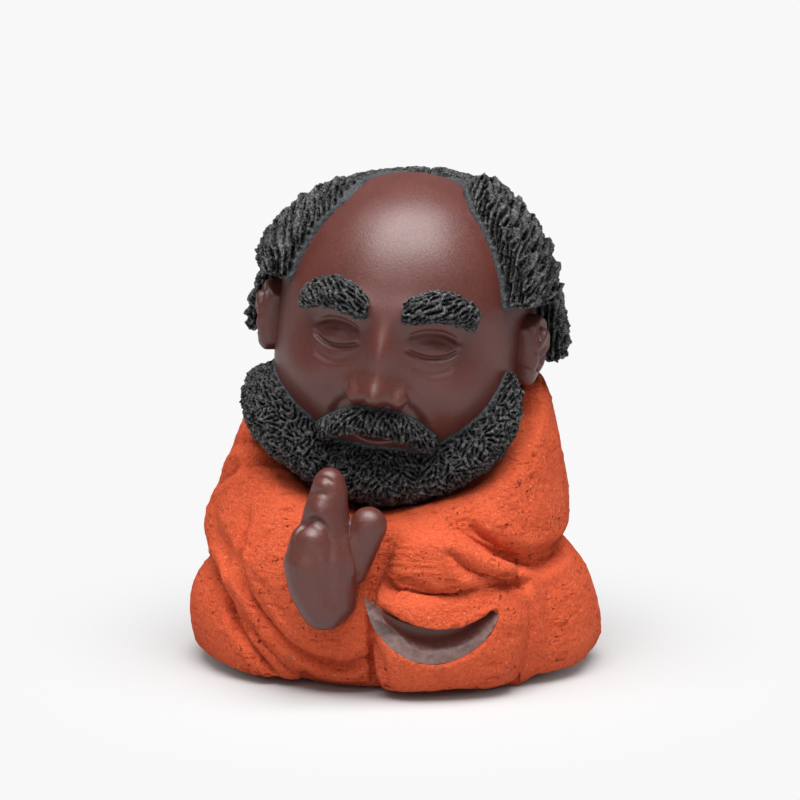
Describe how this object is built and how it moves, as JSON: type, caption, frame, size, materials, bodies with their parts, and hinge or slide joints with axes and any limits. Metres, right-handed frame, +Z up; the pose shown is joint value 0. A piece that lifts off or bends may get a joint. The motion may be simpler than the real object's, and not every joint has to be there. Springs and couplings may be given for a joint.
{
  "type": "tea pet",
  "caption": "Small unglazed clay figure of a seated, bearded monk in a draped robe with one hand raised, set on a tea tray as an ornament.",
  "frame": {"origin": "centre of the base plate's underside, on the surface that the figure stands on", "axes": "+Z up through the head, -Y the way the figure faces, +X towards the figure's own left"},
  "size_m": [0.0651, 0.0625, 0.0783],
  "materials": {
    "robe_clay": "matte, sandy, unglazed orange-red clay",
    "skin_clay": "satin, burnished purple-brown clay",
    "hair_clay": "matte black clay with picked texture",
    "base_clay": "matte unglazed clay"
  },
  "bodies": {
    "root": {"robe_shell": "robe_clay", "base_plate": "base_clay", "right_knee": "robe_clay", "left_knee": "robe_clay", "right_sleeve": "robe_clay", "left_sleeve": "robe_clay", "left_forearm": "robe_clay", "left_cuff": "robe_clay", "cuff_lining": "skin_clay", "head_shell": "skin_clay", "right_ear": "skin_clay", "left_ear": "skin_clay", "right_brow": "hair_clay", "left_brow": "hair_clay", "hair_right": "hair_clay", "hair_left": "hair_clay", "hair_back_right": "hair_clay", "hair_back_left": "hair_clay", "moustache": "hair_clay", "beard": "hair_clay", "right_hand": "skin_clay", "right_thumb": "skin_clay"}
  },
  "joints": []
}
